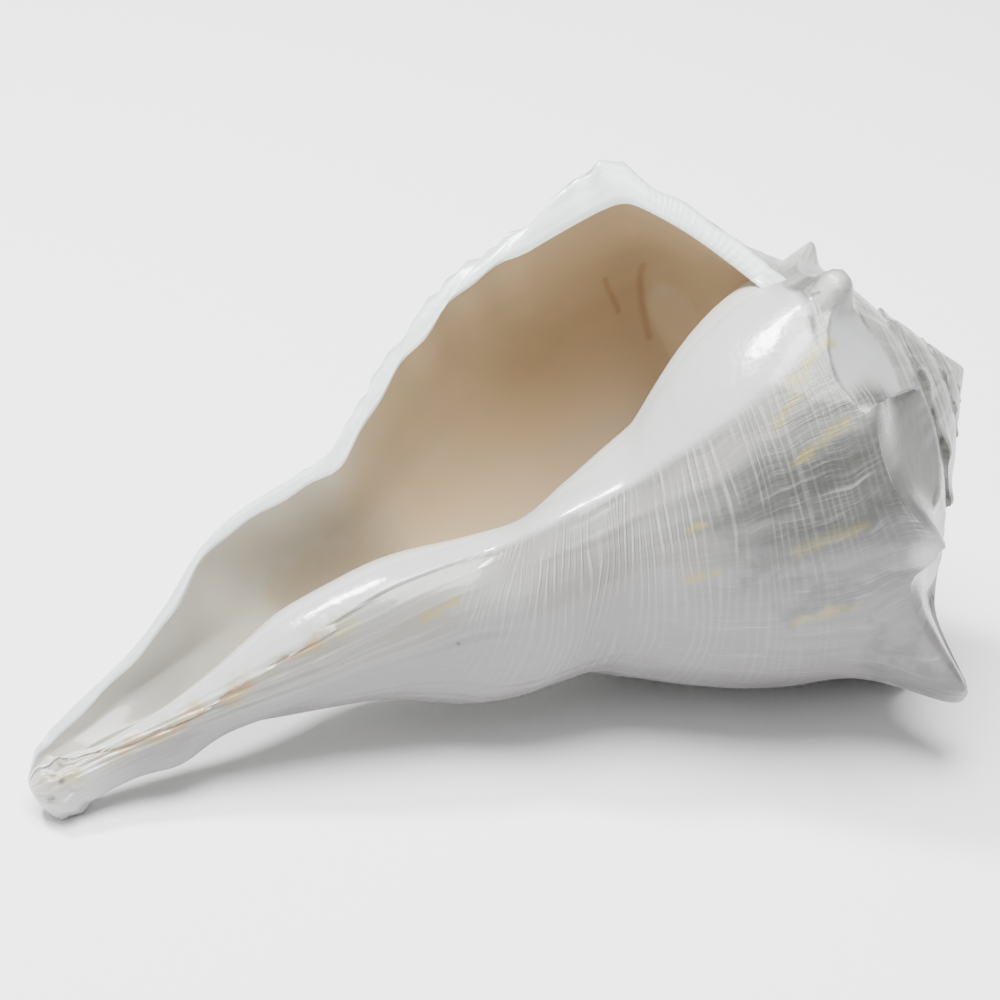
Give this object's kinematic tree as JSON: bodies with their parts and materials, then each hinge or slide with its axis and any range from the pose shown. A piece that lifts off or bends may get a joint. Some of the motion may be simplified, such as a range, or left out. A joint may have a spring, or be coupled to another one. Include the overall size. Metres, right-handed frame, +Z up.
{
  "type": "conch shell",
  "caption": "Large white left-handed whelk shell with a knobbed spire, a flat ground lip, an open mouth and a long open canal, lying on its back.",
  "frame": {"origin": "on the ground under the middle of the shell's bounding box, as the shell lies", "axes": "+Z up, +X along the shell towards its spire, -X towards the tip of its canal, -Y towards the side that the mouth and the large spine face"},
  "size_m": [0.2038, 0.1186, 0.1043],
  "materials": {
    "shell": "polished white shell with faint ribs and streaks, warm tan inside the mouth"
  },
  "bodies": {
    "root": {"shell": "shell"}
  },
  "joints": []
}
